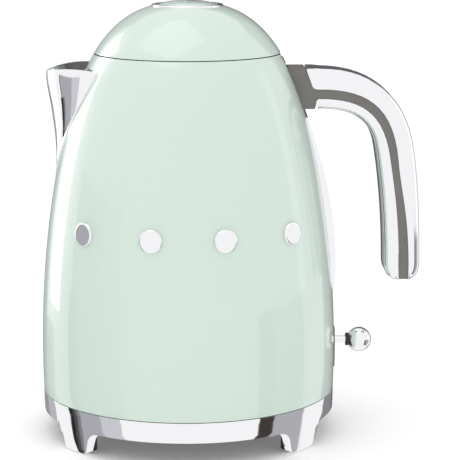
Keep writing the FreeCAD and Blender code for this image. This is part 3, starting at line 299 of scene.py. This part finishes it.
# %% [markdown]
# ## Finishes on the CAD pieces
# Every CAD piece keeps its mesh and gets the finish of its material slot.

# %% Dress the CAD pieces
FINISHES = {
    "mint_enamel": enamel, "chrome_plate": chrome, "grey_plastic": grey_abs, "black_plastic": black_abs,
    "stainless": stainless, "screw_steel": zinc_steel, "silicone": silicone, "black_rubber": black_rubber,
    "clear_plastic": clear, "filter_plastic": filter_abs, "aluminium": aluminium, "contact_brass": brass,
}
slot_of = {row["node"]: row["material_slot"] for row in frame["record"]["subparts"]}


def wear(piece, material):
    """Gives a piece one finish all over."""
    piece.data.materials.clear()
    piece.data.materials.append(material)


for name, node in nodes.items():
    wear(node, FINISHES[slot_of[name]])
print("dressed", len(nodes), "CAD pieces")

# %% [markdown]
# ## Working by hand in code
# The handle's shells are made with the same few moves as by hand: draw an outline as a chain of
# points, fill it, extrude it, and bevel the edges that a die or a mould leaves round. The
# helpers here are those moves: start an edit with one piece selected, round the corners of an
# outline, draw and extrude it, and select edges by where they lie and bevel them.

# %% Start from nothing selected


def start_edit(piece):
    """Makes a piece the only selected object and opens it in edit mode, all selected."""
    bpy.ops.object.mode_set(mode="OBJECT")
    bpy.ops.object.select_all(action="DESELECT")
    piece.select_set(True)
    bpy.context.view_layer.objects.active = piece
    bpy.ops.object.mode_set(mode="EDIT")
    bpy.ops.mesh.select_mode(type="EDGE")
    bpy.ops.mesh.select_all(action="SELECT")


def stand_in_for(piece, node, material, smooth):
    """Finishes a piece: shading smooth below an angle, its finish, its body, its CAD node."""
    bpy.ops.object.mode_set(mode="OBJECT")
    bpy.ops.object.select_all(action="DESELECT")
    piece.select_set(True)
    bpy.context.view_layer.objects.active = piece
    bpy.ops.object.shade_smooth_by_angle(angle=math.radians(smooth))
    wear(piece, material)
    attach(piece, nodes[node]["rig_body"])
    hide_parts(node)
    print(piece.name, "faces", len(piece.data.polygons))


print("edits start on one piece, with everything else deselected")

# %% Outlines with rounded corners
CORNER_STEPS = 6


def rounded_corner(before, here, after, radius):
    """Points of the arc that rounds one corner of an outline."""
    back = (before - here).normalized()
    ahead = (after - here).normalized()
    half = back.angle(ahead) / 2
    centre = here + (back + ahead).normalized() * (radius / math.sin(half))
    first = here + back * (radius / math.tan(half)) - centre
    last = here + ahead * (radius / math.tan(half)) - centre
    sweep = -first.angle_signed(last)
    return [centre + Matrix.Rotation(sweep * step / CORNER_STEPS, 2) @ first
            for step in range(CORNER_STEPS + 1)]


def rounded_outline(corners):
    """Outline points of (x, z, radius) corners in millimetres, in metres."""
    spots = [Vector(corner[:2]) * MM for corner in corners]
    points = []
    for number, corner in enumerate(corners):
        if corner[2] == 0:
            points.append(spots[number])
        else:
            points += rounded_corner(spots[number - 1], spots[number],
                                     spots[(number + 1) % len(spots)], corner[2] * MM)
    return points


def swept(start, first, second, end, steps=14):
    """Corners along a curve from start to end, drawn toward two handles."""
    curve = interpolate_bezier(Vector(start), Vector(first), Vector(second), Vector(end), steps + 1)
    return [(spot.x, spot.y, 0) for spot in curve]


print("a square's corner becomes", CORNER_STEPS + 1, "points")

# %% Draw, fill and extrude


def cut_from_plate(name, outline, half_width):
    """A plate with an (x, z) outline, as thick as twice the half width, centred on y = 0."""
    bpy.ops.object.select_all(action="DESELECT")
    bpy.ops.mesh.primitive_plane_add(size=MM, location=(0, 0, 0))
    piece = bpy.context.object
    piece.name = name
    start_edit(piece)
    bpy.ops.mesh.select_mode(type="VERT")
    bpy.ops.mesh.merge(type="CENTER")
    bpy.ops.transform.translate(value=(outline[0].x, -half_width, outline[0].y))
    for before, here in zip(outline, outline[1:]):
        step = here - before
        bpy.ops.mesh.extrude_vertices_move(TRANSFORM_OT_translate={"value": (step.x, 0, step.y)})
    bpy.ops.mesh.select_all(action="SELECT")
    bpy.ops.mesh.edge_face_add()
    bpy.ops.mesh.extrude_region_move(TRANSFORM_OT_translate={"value": (0, 2 * half_width, 0)})
    bpy.ops.mesh.select_all(action="SELECT")
    bpy.ops.mesh.normals_make_consistent(inside=False)
    bpy.ops.object.mode_set(mode="OBJECT")
    return piece


def bevel_edges(piece, chosen, width, segments):
    """Bevels the edges whose two end points the test chosen(a, b) accepts."""
    start_edit(piece)
    bpy.ops.mesh.select_all(action="DESELECT")
    bpy.ops.object.mode_set(mode="OBJECT")
    points = piece.data.vertices
    for edge in piece.data.edges:
        a, b = (points[end].co for end in edge.vertices)
        edge.select = chosen(a, b)
    count = sum(edge.select for edge in piece.data.edges)
    bpy.ops.object.mode_set(mode="EDIT")
    bpy.ops.mesh.bevel(offset=width, segments=segments, affect="EDGES", clamp_overlap=False)
    bpy.ops.object.mode_set(mode="OBJECT")
    print(piece.name, "bevelled", count, "edges by", round(width / MM, 2), "mm")


print("plates are drawn in the upright plane of the spout and handle")

# %% [markdown]
# ## Handle
# The handle is a sandwich: a satin plastic core, bolted to the jug, with a die-cast chrome shell
# on its outside and another on its inside. Only a grey band of the core shows between them. All
# three follow the same swept lines. Each shell is drawn in side view, extruded to its width, and
# then bevelled: generously where the hand goes, finely where metal meets plastic. The core keeps
# its CAD shape, and its edges are softened with the other moulded pieces further on.

# %% Handle lines
shell_low, shell_high = (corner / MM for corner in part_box("handle_outer"))
HANDLE_TOP = shell_high.z
HANDLE_END = shell_low.z
GRIP = shell_high.x
ROOT = shell_low.x + 7.5                  # where the shells spread from the mount
HALF_HANDLE = shell_high.y
ROUND_START = 9.5                         # the free end is round from here down
STRAIGHT_PART = 38                        # the grip is nearly straight from here down
LEVEL_SHARE = 0.55                        # share of the top that runs nearly level


def handle_line(root_drop, turn_inset, turn_drop, end_inset, over, under):
    """Corners along a line of the handle, from the root round the shoulder to the free end.

    Drops count down from the handle's top and insets count in from its grip. The line leaves
    the root level, passes the turn, and reaches the free end. The handles over and under are
    the (x, drop) pulls on the curve before and after the turn, with x counted from the turn.
    """
    top = HANDLE_TOP - root_drop
    turn_x = GRIP - turn_inset
    end_x = GRIP - end_inset
    turn = (turn_x, HANDLE_TOP - turn_drop)
    upper = swept((ROOT, top), (ROOT + (turn_x - ROOT) * LEVEL_SHARE, top),
                  (turn_x + over[0], HANDLE_TOP - over[1]), turn)
    lower = swept(turn, (turn_x + under[0], HANDLE_TOP - under[1]),
                  (end_x - 0.3, HANDLE_END + STRAIGHT_PART), (end_x, HANDLE_END + ROUND_START))
    return upper + lower[1:]


outer_line = handle_line(0, 4.0, 47.4, 0, over=(-4.6, 15.4), under=(2.6, 65.4))
band_outer = handle_line(11.8, 13.4, 52.4, 6.8, over=(-3.2, 19.4), under=(1.7, 69.9))
band_inner = handle_line(17.0, 18.0, 50.4, 12.2, over=(-4.1, 23.4), under=(2.4, 66.4))
inner_line = handle_line(22.8, 26.0, 46.4, 20.6, over=(-2.6, 28.4), under=(2.4, 60.4))
print("handle from", round(ROOT), "to", round(GRIP), "mm, end at", round(HANDLE_END))

# %% Outer shell
OUTER_ROUND = 5.2 * MM
SEAM_ROUND = 0.45 * MM
MERGE_REACH = 0.002 * MM      # points nearer than this are one point
LINE_REACH = 0.3              # millimetres to either side of a handle line
SHELL_SMOOTH = 35             # degrees: a shell is shaded smooth below this


def near_line(point, line):
    """Whether a point lies on a handle line, seen from the side."""
    spot = Vector((point.x, point.z)) / MM
    for a, b in zip(line, line[1:]):
        _, share = intersect_point_line(spot, Vector(a[:2]), Vector(b[:2]))
        share = min(max(share, 0), 1)
        nearest = Vector(a[:2]).lerp(Vector(b[:2]), share)
        if (spot - nearest.to_2d()).length < LINE_REACH:
            return True
    return False


def on_side(a, b):
    """Whether an edge lies in one of the plate's two flat sides."""
    return abs(a.y - b.y) < MERGE_REACH


def rounded_shell(shell, node, grip, grip_round, seam):
    """Rounds a shell where the hand goes, and finely along its seam with the band."""
    for line, width, segments in ((grip, grip_round, 8), (seam, SEAM_ROUND, 2)):
        bevel_edges(shell, lambda a, b: on_side(a, b) and near_line(a, line) and near_line(b, line),
                    width, segments)
    stand_in_for(shell, node, chrome, SHELL_SMOOTH)


def outer_shell():
    """Chrome shell on the outside of the grip, from the mount to the rounded free end."""
    band_x, _, _ = band_outer[-1]
    end_curve = swept((GRIP, HANDLE_END + ROUND_START), (GRIP, HANDLE_END + 4.0),
                      (GRIP - 2.6, HANDLE_END), (band_x + 0.6, HANDLE_END), 10)
    root = [(ROOT - 3.3, HANDLE_TOP - 11.4, 3.0), (ROOT - 7.5, HANDLE_TOP, 0.8)]
    corners = outer_line + end_curve[1:] + [(band_x, HANDLE_END, 0)] + band_outer[::-1] + root
    shell = cut_from_plate("handle_shell_outer", rounded_outline(corners), HALF_HANDLE * MM)
    rounded_shell(shell, "handle_outer", outer_line + end_curve[1:], OUTER_ROUND,
                  band_outer + [(band_x, HANDLE_END, 0)])


outer_shell()

# %% Inner shell
INNER_ROUND = 4.2 * MM


def inner_shell():
    """Chrome shell on the inside of the grip, where the fingers close."""
    band_x, _, _ = band_inner[-1]
    inner_x, _, _ = inner_line[-1]
    end_curve = swept((inner_x, HANDLE_END + ROUND_START), (inner_x, HANDLE_END + 3.6),
                      (inner_x + 3.2, HANDLE_END), (band_x - 0.6, HANDLE_END), 10)
    root = [(ROOT - 2.4, HANDLE_TOP - 22.8, 1.4), (ROOT - 1.2, HANDLE_TOP - 17.0, 2.0)]
    corners = band_inner[1:] + [(band_x, HANDLE_END, 0)] + end_curve[::-1] + inner_line[::-1][1:] + root
    shell = cut_from_plate("handle_shell_inner", rounded_outline(corners), HALF_HANDLE * MM)
    rounded_shell(shell, "handle_inner", inner_line + end_curve, INNER_ROUND,
                  band_inner + [(band_x, HANDLE_END, 0)])


inner_shell()

# %% [markdown]
# ## Pressed and moulded pieces with softened edges
# The jug, lid, skirt, spout and trims have the right shape in CAD, but their edges are perfectly
# sharp, which no pressing or moulding is. The light catches a real edge as a thin line. Each of
# these is a copy of its CAD mesh: its loose triangles are merged, flat ones joined, and its sharp
# edges get the radius that deburring and plating leave.

# %% Soften a copy
SHARP_EDGE = math.radians(35)
COPY_SMOOTH = 30                          # degrees: a copy is shaded smooth below this
FLAT_JOIN = math.radians(0.3)             # faces nearer than this to one plane are joined


def softened(node, name, width, segments=3):
    """Copy of a CAD piece with its sharp edges bevelled, standing in for it."""
    bpy.ops.object.select_all(action="DESELECT")
    piece = bpy.data.objects.new(name, nodes[node].data.copy())
    bpy.context.scene.collection.objects.link(piece)
    bpy.context.view_layer.objects.active = piece
    piece.select_set(True)
    start_edit(piece)
    bpy.ops.mesh.remove_doubles(threshold=MERGE_REACH)
    bpy.ops.mesh.dissolve_limited(angle_limit=FLAT_JOIN, delimit={"NORMAL"})
    bpy.ops.mesh.select_all(action="DESELECT")
    bpy.ops.mesh.edges_select_sharp(sharpness=SHARP_EDGE)
    bpy.ops.mesh.bevel(offset=width, segments=segments, affect="EDGES", clamp_overlap=True)
    stand_in_for(piece, node, nodes[node].data.materials[0], COPY_SMOOTH)


print("points nearer than", MERGE_REACH, "m are merged")

# %% Jug, lid and trims
softened("jug_shell", "jug_body", 0.45 * MM)
softened("lid_shell", "lid_dome", 0.45 * MM)
softened("lid_button", "lid_push_button", 0.8 * MM)
softened("spout", "spout_beak", 0.35 * MM)
softened("base_skirt", "base_skirt_cast", 0.5 * MM)
softened("window_frame", "window_surround", 1.2 * MM, 4)
softened("switch_bezel", "switch_plate", 0.2 * MM)
softened("lever_collar", "lever_bush", 0.9 * MM, 4)
softened("handle_core", "handle_mount_and_band", 0.5 * MM)

# %% [markdown]
# ## Studio
# Glossy things show the room they stand in, so a product studio is a white tent with a few
# things in it. The tent is an even white world. Tall bright strips beside the kettle draw the
# long highlights down its flanks, and cards that glow in shades from white to black stand round
# the table and paint the reflected bands that make chrome read as chrome. Strips and cards only
# show in gloss, so they don't change how evenly the paint is lit. The floor does the opposite:
# it catches the shadow but is left out of reflections, so the cards show in the skirt as well.

# %% Places round the kettle
KETTLE_MIDDLE = Vector((0, 0, 0.13))


def around(turn, distance, level):
    """Point at a turn from the front, counted toward the spout's side."""
    angle = math.radians(turn)
    return Vector((-distance * math.sin(angle), -distance * math.cos(angle), level))


def facing_kettle(place):
    """Rotation that faces -Z from a place to the kettle's middle."""
    return (KETTLE_MIDDLE - Vector(place)).to_track_quat("-Z", "Y").to_euler()


print("a light at the spout's side stands at", around(90, 1.0, 0.3))

# %% Floor


def white_floor():
    """White paper that glows a little, so its far end stays as white as the world."""
    bpy.ops.object.select_all(action="DESELECT")
    bpy.ops.mesh.primitive_plane_add(size=8, location=(0, 1, 0))
    floor = bpy.context.object
    floor.name = "floor"
    material, _ = new_finish("paper_white", {
        "Base Color": linear("f8f8f8"), "Roughness": 0.7,
        "Emission Color": (1, 1, 1, 1), "Emission Strength": 0.12})
    wear(floor, material)
    floor.visible_glossy = False
    print("floor", floor.name)


white_floor()

# %% Soft box and strips


def soft_box(name, place, width, height, power, gloss_only):
    """Rectangular light that faces the kettle. A gloss-only one is a strip seen in reflections."""
    bpy.ops.object.light_add(type="AREA", location=place, rotation=facing_kettle(place))
    light = bpy.context.object
    light.name = name
    light.data.shape = "RECTANGLE"
    light.data.size = width
    light.data.size_y = height
    light.data.energy = power
    light.visible_diffuse = not gloss_only
    print(name, "gives", power, "W")


soft_box("box_top", (-0.25, -0.15, 1.3), width=0.9, height=0.9, power=2.2, gloss_only=False)
soft_box("strip_left", around(126.5, 0.98, 0.34), width=0.34, height=0.92, power=3.4, gloss_only=True)
soft_box("strip_right", around(-98, 1.0, 0.33), width=0.16, height=0.75, power=0.2, gloss_only=True)

# %% [markdown]
# ## Cards round the table
# A chrome skirt shows the whole room round the kettle, squeezed into its width. Each card is a
# length of a cylinder that glows evenly in one shade, made by drawing its upright edge and
# spinning it round the kettle, so its edges stay upright in the chrome. Flat cards would show
# slanted edges. No camera ray, diffuse light or shadow sees a card, so its band in the chrome
# is a painted reflection.

# %% Cards round the table
CARD_DISTANCE = 1.0
CARD_GAP = 1 * MM                         # each card stands this much behind the one before
FLOOR_CARD = (-0.9, -0.13)                # lower and upper edge, seen in the feet
LOW_CARD = (-0.9, -0.03)                  # seen in the skirt, the spout and the undersides
HALF_CARD = (-0.9, 0.25)
TALL_CARD = (-0.9, 1.0)                   # seen in the handle, the window and the body
# Shades the cards glow with, painted into the chrome as reflected bands.
CARDS = [                                 # turn where it starts and ends, shade, levels
    (144, 180, "98989b", TALL_CARD),
    (127, 144, "b9b9bd", FLOOR_CARD),
    (101, 104, "0c0c0e", LOW_CARD),
    (99, 101, "0c0c0e", HALF_CARD),
    (95, 99, "4a4a4c", LOW_CARD),
    (91, 95, "808083", LOW_CARD),
    (70, 99, "adadb2", HALF_CARD),
    (52, 70, "cfcfd5", HALF_CARD),
    (-67, -54, "3a3431", LOW_CARD),
    (-98, -67, "b0b0b4", LOW_CARD),
    (-155, -129, "88888c", TALL_CARD),
    (-180, -155, "5c5c60", TALL_CARD),
]


def reflected_card(number, start, end, shade, levels):
    """Curved card between two turns from the front, glowing in its shade. It only shows in reflections,
    as a painted reflection band.
    """
    bpy.ops.object.select_all(action="DESELECT")
    bpy.ops.mesh.primitive_plane_add(size=MM, location=(0, 0, 0))
    card = bpy.context.object
    card.name = f"reflected_card_{number}"
    start_edit(card)
    bpy.ops.mesh.select_mode(type="VERT")
    bpy.ops.mesh.merge(type="CENTER")
    low, high = levels
    bpy.ops.transform.translate(value=around(start, CARD_DISTANCE + number * CARD_GAP, low))
    bpy.ops.mesh.extrude_vertices_move(TRANSFORM_OT_translate={"value": (0, 0, high - low)})
    bpy.ops.mesh.select_all(action="SELECT")
    bpy.ops.mesh.spin(steps=8, angle=math.radians(end - start), center=(0, 0, 0), axis=(0, 0, 1))
    bpy.ops.object.mode_set(mode="OBJECT")
    # The card glows in its shade with no lamp behind it: a painted reflection band for the chrome.
    material, _ = new_finish(card.name + "_reflection_glow", {
        "Base Color": (0, 0, 0, 1), "Roughness": 1.0, "Emission Color": linear(shade),
        "Emission Strength": 1.0})
    wear(card, material)
    card.visible_camera = False
    card.visible_diffuse = False
    card.visible_shadow = False
    card.visible_transmission = False


for number, (start, end, shade, levels) in enumerate(CARDS):
    reflected_card(number, start, end, shade, levels)
print("cards", len(CARDS))

# %% [markdown]
# ## World
# The tent itself is the world's colour. An even white is enough, because the cards and strips
# already give the chrome and the enamel something to reflect.

# %% World
WORLD_LIGHT = 1.0


def white_world(strength):
    """An even white world, shown with the Standard view so that white stays white."""
    world = bpy.context.scene.world or bpy.data.worlds.new("studio")
    bpy.context.scene.world = world
    world.use_nodes = True
    background = world.node_tree.nodes["Background"]
    background.inputs["Color"].default_value = (1, 1, 1, 1)
    background.inputs["Strength"].default_value = strength
    bpy.context.scene.view_settings.view_transform = "Standard"


white_world(WORLD_LIGHT)
print("world light", WORLD_LIGHT)
